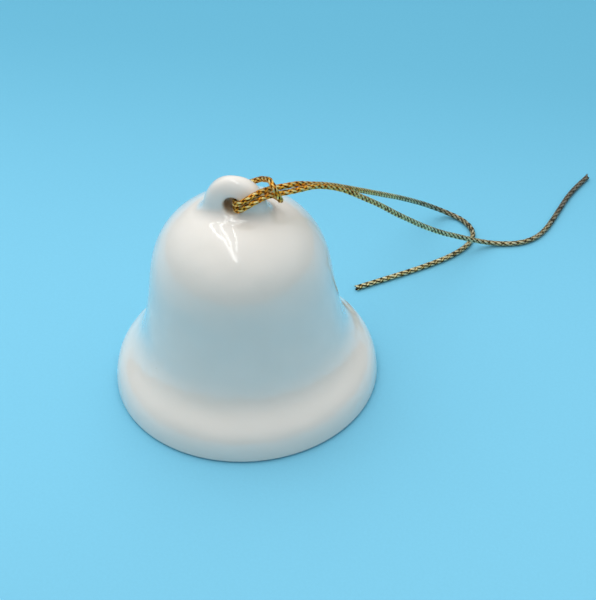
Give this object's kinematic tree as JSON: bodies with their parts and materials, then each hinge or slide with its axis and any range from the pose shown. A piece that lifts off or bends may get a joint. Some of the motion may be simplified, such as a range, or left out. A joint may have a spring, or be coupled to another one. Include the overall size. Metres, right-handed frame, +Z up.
{
  "type": "christmas bell ornament",
  "caption": "Small glazed porcelain bell with a pierced crown lug, a bead clapper hung inside on a ring and wire, and a metallic braid hitched through the lug.",
  "frame": {"origin": "centre of the foot ring, on the surface that the bell stands on", "axes": "+Z up the bell's axis to the hanging lug, +X along the width of the lug, +Y along the lug's hole to the back"},
  "size_m": [0.0994, 0.1164, 0.056],
  "materials": {
    "porcelain": "white porcelain under a clear glossy glaze, with the foot ring left bare",
    "wire": "plain bright steel wire",
    "gold_braid": "gold metallic braid, glinting, round"
  },
  "bodies": {
    "bell": {"bell_shell": "porcelain", "cord_short_tail": "gold_braid", "cord_hitch_long_tail": "gold_braid"},
    "link": {"clapper_link": "wire"},
    "clapper": {"clapper_wire": "wire", "clapper_ball": "porcelain"}
  },
  "joints": [
    {"name": "link_swing", "type": "hinge", "parent": "bell", "child": "link", "pos_m": [0, 0, 0.04055], "axis": [0, 1, 0], "range_deg": [-21, 21]},
    {"name": "clapper_swing", "type": "hinge", "parent": "link", "child": "clapper", "pos_m": [0, 0, 0.03485], "axis": [1, 0, 0], "range_deg": [-23, 23]}
  ]
}
